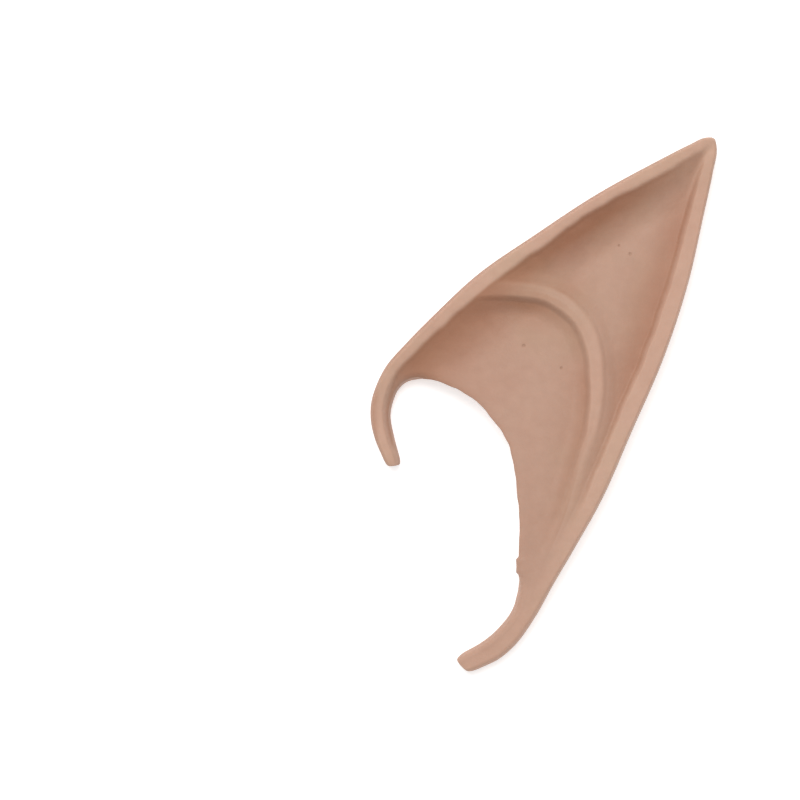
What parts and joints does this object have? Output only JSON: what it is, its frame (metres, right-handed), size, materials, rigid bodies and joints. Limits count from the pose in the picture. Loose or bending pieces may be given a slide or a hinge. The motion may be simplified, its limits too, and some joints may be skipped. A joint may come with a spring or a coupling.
{
  "type": "elf ear tip",
  "caption": "Soft latex pointed ear cover: hollow pocket open at a curved mouth, rolled rim, inner ridge, upper hook and lower strap.",
  "frame": {"origin": "middle of the footprint, on the resting surface under the flat back", "axes": "+X towards the back of the ear, +Y along the length towards the point, +Z out of the front face"},
  "size_m": [0.0778, 0.12, 0.0153],
  "materials": {
    "latex": "soft matt cast latex, skin tan"
  },
  "bodies": {
    "root": {"ear_shell": "latex"}
  },
  "joints": []
}
